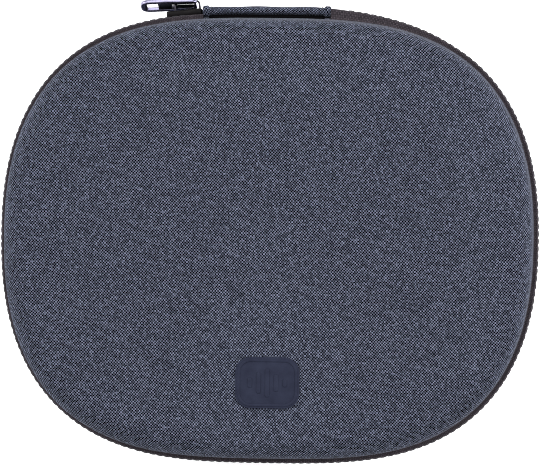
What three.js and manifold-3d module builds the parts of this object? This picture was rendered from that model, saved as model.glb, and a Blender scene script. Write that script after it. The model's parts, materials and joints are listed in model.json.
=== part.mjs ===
// Hard carrying case for over-ear headphones: two fabric-covered moulded foam shells, closed by a
// coil zip round the rim and joined at the back by a sewn fabric hinge strip.
// Millimetres, +Z up. Origin: centre of the flat underside. +Y is the hinge side, -Y the front.

import * as THREE from 'three';
import { mergeVertices } from 'three/addons/utils/BufferGeometryUtils.js';
import Module from 'manifold-3d';

const wasm = await Module();
wasm.setup();

// Rim outline: a superellipse, with its own power along each axis.
const HALF_LENGTH = 107.5;
const HALF_WIDTH = 90;
const POWER_X = 3.11;
const POWER_Y = 2.338;

// Heights. The two shells meet at the parting plane.
const PARTING_Z = 32;
const BASE_DEPTH = 32;
const LID_DEPTH = 30.8;

// Shell section, seen at the rim: how far each layer lies inside the outline.
const RIM_INSET = 2.1;
const DRAFT = THREE.MathUtils.degToRad(6);
const CORNER_RADIUS = 8.5;
const COVER_LAYER = { from: 0, to: 1.0, edge: 5.4 };
const CORE_LAYER = { from: 1.3, to: 4.7, edge: 6.4 };
const LINING_LAYER = { from: 5.0, to: 5.8, edge: 6.4 };
const BINDING = { from: 3.5, to: 8.5, low: 4.9, high: 6.1 };

// Zip, as a section of one half: inset from the outline and height off the parting plane.
const COIL = { from: 0, to: 1.3, low: 0.3, high: 2.7 };
const TAPE = { from: 0.3, thickness: 0.65, low: 3.0, high: 5.05, edgeInset: 2.4 };
const ZIP_START = 27.5;
const ZIP_END = -26.2;
const ZIP_STEPS = 66;
const BULGE = 2.5;
const BULGE_LENGTH = 52;
const BULGE_POWER = 1.15;

// Hinge strip: where it starts and ends along the rim, and how far it bulges out.
const STRIP_LEFT = 27.3;
const STRIP_RIGHT = -23.6;
const STRIP_STEPS = 7;
const STRIP_ARC_STEPS = 8;
const STRIP_LAYERS = { outer: [0, 0.9], lining: [1.2, 1.8] };
const STRIP_HEIGHT = 5.05;
const STRIP_INSET = 2.4;
const STRIP_BULGE = 3.2;

// Zip slider and pull. The slider's own axes: x along the rim, y out of it, z up.
const SLIDER_AT = 34.9;
const SLIDER_HALF = 7.2;
const SLIDER_HALF_HEIGHT = 3.9;
const OUTER_PLATE = [1.0, 2.2];
const INNER_PLATE = [-3.6, -2.8];
const PLATE = { tail: 0.78, tailCorner: 0.8, shoulderFrom: 0, shoulderTo: 3, corner: 1, innerTrim: 0.5 };
const WEB = { thickness: 0.4, start: 3.6, endGap: 0.4, sink: 0.4 };
const CROWN = { left: -4.2, right: 7.1, foot: 1.1, halfWidth: 1.0, underside: 5.6, top: 6.5 };
const CROWN_EDGE = { gap: 0.3, chamfer: 0.8 };
const PULL = { pivotX: 4.5, pivotY: 4.3, length: 23, halfWidth: 4.3, thickness: 1.4, bar: 0.6 };
const PULL_NECK = { half: 3.3, corner: 0.8, end: 7, shoulder: 10 };
const PULL_TAIL = [[3, 0], [0.9, 1.2], [0, 3]];
const CROWN_HOLE = { end: 9.6, half: 1.8 };
const PULL_WINDOW = { start: 16.2, end: 20.8, half: 2.5 };
const PULL_TILT = THREE.MathUtils.degToRad(20);
const PULL_SWING = THREE.MathUtils.degToRad(3);

// Inside: a padded block that fills the headband's gap, and a mesh pocket in the lid.
const BLOCK = { halfLength: 27, halfWidth: 30, y: 4, height: 24, floorGap: 0.3, round: 12, draft: 3 };
const POCKET = { top: 8, inset: 11.9, low: 13, thickness: 0.8, ribbon: 1.9, ribbonInset: 9.6 };
const ELASTIC = { width: 7, thickness: 1.6, inset: 12.5, gap: 0.3 };
const STOP_GAP = 0.3;
const BADGE = { x: 1, y: -55.6, halfLength: 12.5, halfWidth: 10, round: 6, thickness: 0.8, gap: 0.3 };

const RING_STEPS = 48;
const CORNER_STEPS = 3;
const LATHE_RADIUS = 200;

class RimOutline extends THREE.Curve {
  // Runs once round, counter-clockwise seen from above, from the middle of the hinge side.
  getPoint(t, target = new THREE.Vector3()) {
    const angle = Math.PI / 2 + t * 2 * Math.PI;
    const c = Math.cos(angle);
    const s = Math.sin(angle);
    const x = HALF_LENGTH * Math.sign(c) * Math.abs(c) ** (2 / POWER_X);
    const y = HALF_WIDTH * Math.sign(s) * Math.abs(s) ** (2 / POWER_Y);
    return target.set(x, y, 0);
  }
}

const rim = new RimOutline();
rim.arcLengthDivisions = 4000;
const rimLength = rim.getLength();

// The point `inset` inside the rim's outline, `along` millimetres from the middle of the hinge side.
function rimPoint(along, inset, z) {
  const u = THREE.MathUtils.euclideanModulo(along / rimLength, 1);
  const point = rim.getPointAt(u);
  const tangent = rim.getTangentAt(u);
  return new THREE.Vector3(point.x - tangent.y * inset, point.y + tangent.x * inset, z);
}

// How far the zip stands proud of the outline near the right end of the hinge strip.
function zipBulge(along) {
  const before = THREE.MathUtils.euclideanModulo(STRIP_RIGHT - along, rimLength);
  return BULGE * (1 - Math.min(before / BULGE_LENGTH, 1)) ** BULGE_POWER;
}

function solidFrom(geometry) {
  geometry.deleteAttribute('normal');
  geometry.deleteAttribute('uv');
  const merged = mergeVertices(geometry, 1e-4);
  const kept = [];
  const index = merged.index.array;
  for (let i = 0; i < index.length; i += 3) {
    const [a, b, c] = [index[i], index[i + 1], index[i + 2]];
    if (a !== b && b !== c && c !== a) kept.push(a, b, c);
  }
  const position = merged.attributes.position;
  const [p, q, r] = [new THREE.Vector3(), new THREE.Vector3(), new THREE.Vector3()];
  let volume = 0;
  for (let i = 0; i < kept.length; i += 3) {
    p.fromBufferAttribute(position, kept[i]);
    q.fromBufferAttribute(position, kept[i + 1]);
    r.fromBufferAttribute(position, kept[i + 2]);
    volume += p.dot(q.cross(r));
  }
  if (volume < 0) kept.reverse();
  merged.setIndex(kept);
  return merged;
}

function mapVertices(geometry, place) {
  const position = geometry.attributes.position;
  const vertex = new THREE.Vector3();
  for (let i = 0; i < position.count; i += 1) {
    vertex.fromBufferAttribute(position, i);
    const placed = place(vertex);
    position.setXYZ(i, placed.x, placed.y, placed.z);
  }
  return solidFrom(geometry);
}

// A section of [inset, height] points carried right round the rim.
function ringSolid(section, side) {
  const radiusAt = (inset) => (inset === null ? 0 : LATHE_RADIUS - inset);
  const profile = section.map(([inset, height]) => new THREE.Vector2(radiusAt(inset), height));
  const lathe = new THREE.LatheGeometry(profile, RING_STEPS);
  return mapVertices(lathe, (vertex) => {
    const z = PARTING_Z + side * vertex.y;
    const radius = Math.hypot(vertex.x, vertex.z);
    if (radius < 1) return new THREE.Vector3(0, 0, z);
    const turn = Math.round(Math.atan2(vertex.x, vertex.z) / (2 * Math.PI) * RING_STEPS) / RING_STEPS;
    return rimPoint(turn * rimLength, LATHE_RADIUS - radius, z);
  });
}

// A section of [inset, height] points carried along part of the rim, with an outward shift
// that fades out between the section's lowest and highest points.
function stretchSolid(section, start, end, steps, side, shift = () => 0) {
  const shape = new THREE.Shape(section.map(([inset, height]) => new THREE.Vector2(inset, height)));
  const length = THREE.MathUtils.euclideanModulo(end - start, rimLength);
  const extruded = new THREE.ExtrudeGeometry(shape, { depth: length, steps, bevelEnabled: false });
  return mapVertices(extruded, (vertex) => {
    const along = start + vertex.z;
    return rimPoint(along, vertex.x - shift(along, vertex.y), PARTING_Z + side * vertex.y);
  });
}

// One layer of a shell's wall, from the middle of its face to its edge and back.
function shellSection(layer, depth) {
  const centreHeight = depth - CORNER_RADIUS;
  const wallHeight = centreHeight + CORNER_RADIUS * Math.sin(DRAFT) - COVER_LAYER.edge;
  const centreInset = RIM_INSET + CORNER_RADIUS * Math.cos(DRAFT) + wallHeight * Math.tan(DRAFT);
  const face = (offset) => {
    const radius = CORNER_RADIUS - offset;
    const points = [[null, depth - offset]];
    for (let i = 0; i <= CORNER_STEPS; i += 1) {
      const angle = THREE.MathUtils.lerp(Math.PI / 2, DRAFT, i / CORNER_STEPS);
      points.push([centreInset - radius * Math.cos(angle), centreHeight + radius * Math.sin(angle)]);
    }
    const [inset, height] = points.at(-1);
    points.push([inset - (height - layer.edge) * Math.tan(DRAFT), layer.edge]);
    return points;
  };
  return [...face(layer.from), ...face(layer.to).reverse()];
}

function rectangleSection(box) {
  return [[box.from, box.low], [box.to, box.low], [box.to, box.high], [box.from, box.high]];
}

function closedSection(points) {
  return [...points, points[0]];
}

function tapeSection() {
  const { from, thickness, low, high, edgeInset } = TAPE;
  return [[from, low], [from + thickness, low], [edgeInset + thickness, high], [edgeInset, high]];
}

function tapeShift(along, height) {
  const fade = (TAPE.high - height) / (TAPE.high - TAPE.low);
  return zipBulge(along) * fade;
}

function stripSection([outer, inner]) {
  const arc = (offset) => {
    const points = [];
    for (let i = 0; i <= STRIP_ARC_STEPS; i += 1) {
      const angle = THREE.MathUtils.lerp(-Math.PI / 2, Math.PI / 2, i / STRIP_ARC_STEPS);
      const reach = STRIP_BULGE + STRIP_INSET - offset;
      points.push([STRIP_INSET - reach * Math.cos(angle), (STRIP_HEIGHT - offset) * Math.sin(angle)]);
    }
    return points;
  };
  return [...arc(outer), ...arc(inner).reverse()];
}

function roundedRectangle(halfLength, halfWidth, round) {
  const shape = new THREE.Shape();
  shape.moveTo(halfLength, -halfWidth + round);
  shape.absarc(halfLength - round, halfWidth - round, round, 0, Math.PI / 2);
  shape.absarc(-halfLength + round, halfWidth - round, round, Math.PI / 2, Math.PI);
  shape.absarc(-halfLength + round, -halfWidth + round, round, Math.PI, 1.5 * Math.PI);
  shape.absarc(halfLength - round, -halfWidth + round, round, 1.5 * Math.PI, 2 * Math.PI);
  return shape;
}

function slab(shape, thickness, curveSegments) {
  return new THREE.ExtrudeGeometry(shape, { depth: thickness, bevelEnabled: false, curveSegments });
}

function toManifold(geometry) {
  const closed = solidFrom(geometry);
  const vertProperties = new Float32Array(closed.attributes.position.array);
  const triVerts = new Uint32Array(closed.index.array);
  return new wasm.Manifold(new wasm.Mesh({ numProp: 3, vertProperties, triVerts }));
}

function fromManifold(manifold) {
  const mesh = manifold.getMesh();
  const geometry = new THREE.BufferGeometry();
  geometry.setAttribute('position', new THREE.BufferAttribute(mesh.vertProperties, 3));
  geometry.setIndex(new THREE.BufferAttribute(mesh.triVerts, 1));
  return geometry;
}

function boxBetween(low, high) {
  const size = high.map((value, i) => value - low[i]);
  const box = new THREE.BoxGeometry(...size);
  return box.translate(...low.map((value, i) => value + size[i] / 2));
}

function joined(geometries) {
  return fromManifold(geometries.map(toManifold).reduce((whole, next) => whole.add(next)));
}

// An outline drawn in the slider's x-z plane and given a thickness along its y.
function uprightSlab(shape, [from, to]) {
  return slab(shape, to - from, 4).rotateX(Math.PI / 2).translate(0, to, 0);
}

// The half of a symmetrical outline drawn from its first point to its last, then mirrored in x.
function mirroredShape(upper) {
  const lower = upper.map(([x, y]) => [x, -y]).reverse();
  return new THREE.Shape([...upper, ...lower].map(([x, y]) => new THREE.Vector2(x, y)));
}

// Both plates of a slider are wide-shouldered at the hinge end and narrower at the tail.
function sliderPlate(halfHeight, thickness) {
  const tail = halfHeight * PLATE.tail;
  const shape = mirroredShape([
    [-SLIDER_HALF, tail * PLATE.tailCorner],
    [-SLIDER_HALF + PLATE.corner, tail],
    [PLATE.shoulderFrom, tail],
    [PLATE.shoulderTo, halfHeight],
    [SLIDER_HALF - PLATE.corner, halfHeight],
    [SLIDER_HALF, halfHeight - PLATE.corner],
  ]);
  return uprightSlab(shape, thickness);
}

function sliderBody() {
  const web = boxBetween(
    [WEB.start, INNER_PLATE[1] - WEB.sink, -WEB.thickness / 2],
    [SLIDER_HALF - WEB.endGap, OUTER_PLATE[0] + WEB.sink, WEB.thickness / 2],
  );
  const outer = sliderPlate(SLIDER_HALF_HEIGHT, OUTER_PLATE);
  const inner = sliderPlate(SLIDER_HALF_HEIGHT - PLATE.innerTrim, INNER_PLATE);
  return joined([outer, inner, web]);
}

// The arch on the slider that the pull's bar runs through.
function sliderCrown() {
  const footY = OUTER_PLATE[1] + CROWN_EDGE.gap;
  const { left, right, foot, top, underside, halfWidth } = CROWN;
  const { chamfer } = CROWN_EDGE;
  const outline = [
    [left, footY],
    [left + foot, footY],
    [left + foot, underside - chamfer],
    [left + foot + chamfer, underside],
    [right - foot - chamfer / 2, underside],
    [right - foot, underside - chamfer / 2],
    [right - foot, footY],
    [right, footY],
    [right, top - chamfer],
    [right - chamfer, top],
    [left + 2 * chamfer, top],
    [left, underside - chamfer],
  ];
  const shape = new THREE.Shape(outline.map(([x, y]) => new THREE.Vector2(x, y)));
  return slab(shape, 2 * halfWidth, 4).translate(0, 0, -halfWidth);
}

function rectanglePath(start, end, half) {
  const path = new THREE.Path();
  path.moveTo(start, -half);
  path.lineTo(end, -half);
  path.lineTo(end, half);
  path.lineTo(start, half);
  return path;
}

// The pull lies along -x from its bar; its width is drawn along y and stood up afterwards.
function pullTab() {
  const { length, halfWidth, thickness, bar } = PULL;
  const tailEnd = PULL_TAIL.map(([x, y]) => [-length + x, halfWidth - y]);
  const shape = mirroredShape([
    [bar, PULL_NECK.half - PULL_NECK.corner],
    [bar - PULL_NECK.corner, PULL_NECK.half],
    [-PULL_NECK.end, PULL_NECK.half],
    [-PULL_NECK.shoulder, halfWidth],
    ...tailEnd,
  ]);
  shape.holes.push(rectanglePath(-bar, -CROWN_HOLE.end, CROWN_HOLE.half));
  shape.holes.push(rectanglePath(-PULL_WINDOW.start, -PULL_WINDOW.end, PULL_WINDOW.half));
  return slab(shape, thickness, 4).translate(0, 0, -thickness / 2).rotateX(Math.PI / 2);
}

// The padded block in the base, narrower at its top than at its foot.
function centreBlock() {
  const wall = LINING_LAYER.to;
  const shape = roundedRectangle(BLOCK.halfLength, BLOCK.halfWidth, BLOCK.round);
  const block = slab(shape, BLOCK.height, 4);
  mapInPlace(block, (vertex) => {
    const taper = BLOCK.draft * vertex.z / BLOCK.height;
    vertex.x *= 1 - taper / BLOCK.halfLength;
    vertex.y *= 1 - taper / BLOCK.halfWidth;
  });
  return block.translate(0, BLOCK.y, wall + BLOCK.floorGap);
}

function mapInPlace(geometry, change) {
  const position = geometry.attributes.position;
  const vertex = new THREE.Vector3();
  for (let i = 0; i < position.count; i += 1) {
    vertex.fromBufferAttribute(position, i);
    change(vertex);
    position.setXYZ(i, vertex.x, vertex.y, vertex.z);
  }
}

// The stretch of the rim's outline in front of a line across the case, given as its half length.
function frontStretch(inset, lineY) {
  const points = [];
  const steps = 40;
  for (let i = 0; i <= steps; i += 1) {
    const point = rimPoint(rimLength * (0.2 + 0.6 * i / steps), inset, 0);
    if (point.y < lineY - 1) points.push(new THREE.Vector2(point.x, point.y));
  }
  const first = points[0];
  const last = points.at(-1);
  return [new THREE.Vector2(first.x, lineY), ...points, new THREE.Vector2(last.x, lineY)];
}

function meshPocket() {
  const shape = new THREE.Shape(frontStretch(POCKET.inset, POCKET.top));
  return slab(shape, POCKET.thickness, 1).translate(0, 0, PARTING_Z + POCKET.low);
}

// A U of ribbon that sews the pocket's curved edge to the lid's lining.
function pocketBinding() {
  const outer = frontStretch(POCKET.ribbonInset, POCKET.top);
  const inner = frontStretch(POCKET.ribbonInset + POCKET.ribbon, POCKET.top).reverse();
  const shape = new THREE.Shape([...outer, ...inner]);
  const thickness = POCKET.thickness * 2;
  return slab(shape, thickness, 1).translate(0, 0, PARTING_Z + POCKET.low - POCKET.thickness / 2);
}

function pocketElastic() {
  const halfLength = HALF_LENGTH - ELASTIC.inset;
  const low = PARTING_Z + POCKET.low - (ELASTIC.thickness - POCKET.thickness) / 2;
  const front = POCKET.top + ELASTIC.gap;
  const back = front + ELASTIC.width;
  return boxBetween([-halfLength, front, low], [halfLength, back, low + ELASTIC.thickness]);
}

function lidBadge() {
  const shape = roundedRectangle(BADGE.halfLength, BADGE.halfWidth, BADGE.round);
  return slab(shape, BADGE.thickness, 4).translate(BADGE.x, BADGE.y, PARTING_Z + LID_DEPTH + BADGE.gap);
}

function zipStop() {
  const section = rectangleSection({ ...COIL, low: -COIL.high });
  return stretchSolid(section, ZIP_END + STOP_GAP, STRIP_RIGHT - STOP_GAP, 1, 1, () => BULGE);
}

const FABRIC = { color: 0x494d5e, roughness: 0.9, metalness: 0 };
const FOAM = { color: 0x1d1f24, roughness: 0.8, metalness: 0 };
const LINING = { color: 0x24262c, roughness: 0.95, metalness: 0 };
const RIBBON = { color: 0x16171b, roughness: 0.85, metalness: 0 };
const TAPE_CLOTH = { color: 0x1a1c22, roughness: 0.85, metalness: 0 };
const NYLON = { color: 0x1b1d24, roughness: 0.5, metalness: 0 };
const NET = { color: 0x2a2c33, roughness: 0.8, metalness: 0 };
const RUBBER = { color: 0x35394d, roughness: 0.6, metalness: 0 };
const BLACK_PAINT = { color: 0x0e0e12, roughness: 0.35, metalness: 0.3 };
const GUNMETAL = { color: 0x8a879c, roughness: 0.2, metalness: 1 };

function named(name, geometry, look) {
  const mesh = new THREE.Mesh(solidFrom(geometry), new THREE.MeshStandardMaterial(look));
  mesh.name = name;
  return mesh;
}

// One half of the case: its shell, its bound edge and its half of the zip.
function caseHalf(name, depth, side) {
  const half = new THREE.Group();
  const coilShift = (along) => zipBulge(along);
  half.add(named(`${name}_cover`, ringSolid(shellSection(COVER_LAYER, depth), side), FABRIC));
  half.add(named(`${name}_core`, ringSolid(shellSection(CORE_LAYER, depth), side), FOAM));
  half.add(named(`${name}_lining`, ringSolid(shellSection(LINING_LAYER, depth), side), LINING));
  half.add(named(`${name}_binding`, ringSolid(closedSection(rectangleSection(BINDING)), side), RIBBON));
  const tape = stretchSolid(tapeSection(), ZIP_START, ZIP_END, ZIP_STEPS, side, tapeShift);
  half.add(named(`${name}_zip_tape`, tape, TAPE_CLOTH));
  const coil = stretchSolid(rectangleSection(COIL), ZIP_START, ZIP_END, ZIP_STEPS, side, coilShift);
  half.add(named(`${name}_zip_coil`, coil, NYLON));
  return half;
}

function hingeStrip() {
  const strip = new THREE.Group();
  const length = [STRIP_RIGHT, STRIP_LEFT, STRIP_STEPS];
  strip.add(named('hinge_strip', stretchSolid(stripSection(STRIP_LAYERS.outer), ...length, 1), FABRIC));
  strip.add(named('hinge_lining', stretchSolid(stripSection(STRIP_LAYERS.lining), ...length, 1), LINING));
  return strip;
}

function zipSlider() {
  const slider = new THREE.Group();
  slider.add(named('slider_body', sliderBody(), BLACK_PAINT));
  slider.add(named('slider_crown', sliderCrown(), GUNMETAL));
  const pull = named('pull_tab', pullTab(), GUNMETAL);
  pull.position.set(PULL.pivotX, PULL.pivotY, 0);
  pull.rotation.set(-PULL_TILT, 0, -PULL_SWING, 'ZYX');
  slider.add(pull);
  const place = rimPoint(SLIDER_AT, 0, PARTING_Z);
  const tangent = rim.getTangentAt(SLIDER_AT / rimLength);
  slider.position.copy(place);
  slider.rotation.z = Math.atan2(-tangent.y, -tangent.x);
  return slider;
}

function insideFittings() {
  const fittings = new THREE.Group();
  fittings.add(named('centre_block', centreBlock(), LINING));
  fittings.add(named('mesh_pocket', meshPocket(), NET));
  fittings.add(named('pocket_binding', pocketBinding(), RIBBON));
  fittings.add(named('pocket_elastic', pocketElastic(), RIBBON));
  return fittings;
}

const carryingCase = new THREE.Group();
carryingCase.add(caseHalf('base', BASE_DEPTH, -1));
carryingCase.add(caseHalf('lid', LID_DEPTH, 1));
carryingCase.add(named('lid_badge', lidBadge(), RUBBER));
carryingCase.add(insideFittings());
carryingCase.add(hingeStrip());
carryingCase.add(named('zip_stop', zipStop(), GUNMETAL));
carryingCase.add(zipSlider());

export default carryingCase;
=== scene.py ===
# %% [markdown]
# # A zipped hard case for headphones
# The real case is two shells of heat-formed foam, wrapped in heather cloth, that meet at a coil
# zip and open on a sewn fabric hinge. Every piece here is a closed mesh lofted along one rim
# line, because the real parts are all cut or sewn to that line too. The frame comes first: it
# fixes where everything is, and the looks are built round it.

import json
import math

import bmesh
import bpy
import numpy as np
from mathutils import Matrix, Vector


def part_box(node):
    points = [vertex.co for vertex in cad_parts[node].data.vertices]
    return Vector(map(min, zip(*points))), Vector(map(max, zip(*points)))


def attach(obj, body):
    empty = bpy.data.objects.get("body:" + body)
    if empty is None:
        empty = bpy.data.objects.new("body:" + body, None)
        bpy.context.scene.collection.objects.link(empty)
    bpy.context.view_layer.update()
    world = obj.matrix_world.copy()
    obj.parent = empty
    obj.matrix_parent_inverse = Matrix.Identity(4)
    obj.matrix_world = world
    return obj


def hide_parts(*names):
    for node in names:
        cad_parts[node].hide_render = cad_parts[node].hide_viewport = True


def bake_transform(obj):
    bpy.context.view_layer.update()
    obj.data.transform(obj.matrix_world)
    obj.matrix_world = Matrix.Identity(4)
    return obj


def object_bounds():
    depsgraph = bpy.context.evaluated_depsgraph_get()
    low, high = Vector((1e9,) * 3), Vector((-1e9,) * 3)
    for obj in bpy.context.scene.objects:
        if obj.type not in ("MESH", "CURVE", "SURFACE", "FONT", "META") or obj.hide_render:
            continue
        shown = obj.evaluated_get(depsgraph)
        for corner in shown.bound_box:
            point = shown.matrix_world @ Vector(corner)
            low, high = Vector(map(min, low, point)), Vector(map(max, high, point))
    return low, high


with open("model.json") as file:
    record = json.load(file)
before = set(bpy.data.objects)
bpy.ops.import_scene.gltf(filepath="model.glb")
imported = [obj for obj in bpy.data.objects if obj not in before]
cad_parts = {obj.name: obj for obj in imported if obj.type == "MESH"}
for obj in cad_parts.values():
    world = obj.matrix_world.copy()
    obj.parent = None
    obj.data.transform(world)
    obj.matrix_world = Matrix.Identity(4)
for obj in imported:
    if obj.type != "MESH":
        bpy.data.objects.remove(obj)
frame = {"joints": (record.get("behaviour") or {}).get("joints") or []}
cad_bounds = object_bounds()
joints = {joint["name"]: joint for joint in frame["joints"]}

# %% [markdown]
# ## The rim line
# Seen from above the case is a superellipse, which is a rounded rectangle whose sides never go
# quite straight. The two powers say how square it is along each axis. Its outward direction
# comes from the curve's own equation rather than from neighbouring points, so that offsets from
# it stay smooth where the curve is nearly flat.

# %% The rim line, by distance along it
MM = 0.001
RIM_INSET = 2.1
POWER_X = 3.11
POWER_Y = 2.338


def box_mm(node):
    low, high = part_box(node)
    return np.array(low) / MM, np.array(high) / MM


lid_high = box_mm("lid_cover")[1]
base_low = box_mm("base_cover")[0]
HALF_LENGTH = lid_high[0] + RIM_INSET
HALF_WIDTH = lid_high[1] + RIM_INSET
PARTING = joints["lid_hinge"]["pos_m"][2] / MM

turn = np.linspace(0, 2 * np.pi, 40001) + np.pi / 2
curve_x = HALF_LENGTH * np.sign(np.cos(turn)) * np.abs(np.cos(turn)) ** (2 / POWER_X)
curve_y = HALF_WIDTH * np.sign(np.sin(turn)) * np.abs(np.sin(turn)) ** (2 / POWER_Y)
curve_length = np.concatenate([[0], np.cumsum(np.hypot(np.diff(curve_x), np.diff(curve_y)))])
RIM_LENGTH = curve_length[-1]


def rim(along):
    """Point and outward direction, along millimetres from the middle of the hinge side."""
    along = np.asarray(along, float) % RIM_LENGTH
    x = np.interp(along, curve_length, curve_x)
    y = np.interp(along, curve_length, curve_y)
    nx = POWER_X / HALF_LENGTH * np.sign(x) * np.abs(x / HALF_LENGTH) ** (POWER_X - 1)
    ny = POWER_Y / HALF_WIDTH * np.sign(y) * np.abs(y / HALF_WIDTH) ** (POWER_Y - 1)
    size = np.hypot(nx, ny)
    return np.stack([x, y], -1), np.stack([nx / size, ny / size], -1)


def on_rim(along, out, z):
    """Points out millimetres outside the rim line at height z, all arrays of one shape."""
    point, normal = rim(along)
    flat = point + normal * np.asarray(out)[..., None]
    return np.concatenate([flat, np.broadcast_to(z, flat.shape[:-1])[..., None]], -1)


print("rim", round(RIM_LENGTH, 1), "mm, half sizes", HALF_LENGTH, HALF_WIDTH, "parting", PARTING)

# %% [markdown]
# ## Turning rows of points into a mesh
# Nearly every piece is a section carried along a line. One function joins such rows with quads,
# closes both directions or caps the ends, and keeps a map called "cloth" that holds each
# corner's place on the flat material in millimetres, so that a weave or a rib has its real size
# wherever the piece bends.

# %% The lofting helper
def make_piece(name, vertices, faces, cloth=None, sharp=50):
    mesh = bpy.data.meshes.new(name)
    mesh.from_pydata([tuple(v) for v in np.asarray(vertices) * MM], [], faces)
    if cloth is not None:
        layer = mesh.uv_layers.new(name="cloth")
        layer.data.foreach_set("uv", np.asarray(cloth, np.float32).ravel())
    outward = bmesh.new()
    outward.from_mesh(mesh)
    bmesh.ops.recalc_face_normals(outward, faces=outward.faces)
    outward.to_mesh(mesh)
    outward.free()
    mesh.shade_smooth()
    mesh.set_sharp_from_angle(angle=math.radians(sharp))
    piece = bpy.data.objects.new(name, mesh)
    bpy.context.scene.collection.objects.link(piece)
    return piece


def loft(name, rows, cloth=None, around=False, tube=True, sharp=50):
    """rows[i][j] is point j of station i. around joins the last station to the first, tube the
    last point of a section to its first. Open ends are capped when the section is closed."""
    rows = np.asarray(rows, float)
    stations, points = rows.shape[:2]
    if cloth is None:
        step_i = np.linalg.norm(np.diff(rows, axis=0, append=rows[:1]), axis=2).mean(1)
        step_j = np.linalg.norm(np.diff(rows, axis=1, append=rows[:, :1]), axis=2).mean(0)
        grid_i = np.concatenate([[0], np.cumsum(step_i)])
        grid_j = np.concatenate([[0], np.cumsum(step_j)])
        cloth = np.stack(np.meshgrid(grid_i, grid_j, indexing="ij"), -1)
    faces = []
    corners = []
    for i in range(stations if around else stations - 1):
        for j in range(points if tube else points - 1):
            quad = [(i, j), (i + 1, j), (i + 1, j + 1), (i, j + 1)]
            faces.append([(a % stations) * points + b % points for a, b in quad])
            corners += [cloth[a, b] for a, b in quad]
    if tube and not around:
        for end, order in ((0, range(points)), (stations - 1, range(points - 1, -1, -1))):
            faces.append([end * points + j for j in order])
            corners += [cloth[end, j] for j in order]
    return make_piece(name, rows.reshape(-1, 3), faces, corners, sharp)


# %% [markdown]
# ## Materials as node trees
# Every finish is procedural. One function turns a colour from its usual hex form to linear
# light, and one adds a node, gives it its settings and joins its inputs, so the recipes below
# read as lists of what goes into what.

# %% The material helpers
def linear(colour):
    parts = [int(colour[i:i + 2], 16) / 255 for i in (1, 3, 5)]
    return tuple(c / 12.92 if c <= 0.04045 else ((c + 0.055) / 1.055) ** 2.4 for c in parts) + (1.0,)


def add(tree, kind, inputs=(), **settings):
    """A new node; inputs by name or in order, each a value or another node's output."""
    node = tree.nodes.new("ShaderNode" + kind)
    for key, value in settings.items():
        setattr(node, key, value)
    sockets = [socket for socket in node.inputs if socket.enabled]
    for key, value in (inputs.items() if isinstance(inputs, dict) else enumerate(inputs)):
        socket = sockets[key] if isinstance(key, int) else next(s for s in sockets if s.name == key)
        if isinstance(value, bpy.types.NodeSocket):
            tree.links.new(value, socket)
        elif value is not None:
            socket.default_value = value
    outputs = [socket for socket in node.outputs if socket.enabled]
    return outputs[0] if outputs else node


def new_material(name):
    material = bpy.data.materials.new(name)
    material.use_nodes = True
    material.node_tree.nodes.clear()
    return material, material.node_tree


def surface(tree, **values):
    """Ends a recipe with the main shader; names use _ for a space."""
    shader = add(tree, "BsdfPrincipled", {k.replace("_", " "): v for k, v in values.items()})
    add(tree, "OutputMaterial", {"Surface": shader})


def dress(piece, material, body, slot, *nodes):
    piece.data.materials.append(material)
    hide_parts(*nodes)
    if body:
        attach(piece, body)
    return piece


# %% [markdown]
# ## Heather cloth
# The shells wear a woven polyester in two yarns, one pale grey-blue and one close to black. In
# a plain weave each crossing shows one yarn on top, so the two make a fine checker, and because
# the yarns are spun from mixed fibres their shade drifts along their length. That drift is what
# heather means. Each yarn's number comes from rounding the cloth map, the shade from noise that
# is stretched along the yarn, and the rounded backs of the yarns give the bump. The colour is
# also painted darker where the yarns dip, as painted shade in the gaps between them.

# %% Heather weave
YARN_WARP = 0.57
YARN_WEFT = 0.59
LEAN_WARP = math.tan(math.radians(5))
LEAN_WEFT = math.tan(math.radians(1))


def yarn_grid(tree, pitch_u, pitch_v, lean_u=0.0, lean_v=0.0, wander=0.16):
    """Yarn numbers, places within a yarn and which yarn is on top, for a plain weave."""
    cloth = add(tree, "UVMap", uv_map="cloth")
    drift = add(tree, "TexNoise", {"Vector": cloth, "Scale": 0.45, "Detail": 2.0}, noise_dimensions="2D")
    drift = add(tree, "Math", [drift, 0.5], operation="SUBTRACT")
    parts = add(tree, "SeparateXYZ", [cloth])
    x = parts
    y = parts.node.outputs["Y"]
    u = add(tree, "Math", [y, lean_u, x], operation="MULTIPLY_ADD")
    u = add(tree, "Math", [u, 1 / pitch_u], operation="MULTIPLY")
    u = add(tree, "Math", [drift, wander * 6, u], operation="MULTIPLY_ADD")
    v = add(tree, "Math", [x, -lean_v, y], operation="MULTIPLY_ADD")
    v = add(tree, "Math", [v, 1 / pitch_v], operation="MULTIPLY")
    v = add(tree, "Math", [drift, wander * 5, v], operation="MULTIPLY_ADD")
    column = add(tree, "Math", [u], operation="FLOOR")
    row = add(tree, "Math", [v], operation="FLOOR")
    both = add(tree, "Math", [column, row], operation="ADD")
    top = add(tree, "Math", [both, 2.0], operation="FLOORED_MODULO")
    across_u = add(tree, "Math", [u], operation="FRACT")
    across_v = add(tree, "Math", [v], operation="FRACT")
    return u, v, column, row, across_u, across_v, top


def yarn_back(tree, across, along):
    """Height of a rounded yarn that dips at both ends of its float."""
    bulge = add(tree, "Math", [across, 0.5], operation="SUBTRACT")
    bulge = add(tree, "Math", [bulge, bulge], operation="MULTIPLY")
    bulge = add(tree, "Math", [bulge, -3.4, 1.0], operation="MULTIPLY_ADD")
    dip = add(tree, "Math", [along, 0.5], operation="SUBTRACT")
    dip = add(tree, "Math", [dip, dip], operation="MULTIPLY")
    dip = add(tree, "Math", [dip, -2.2, 1.0], operation="MULTIPLY_ADD")
    return add(tree, "Math", [bulge, dip], operation="MULTIPLY")


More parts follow.
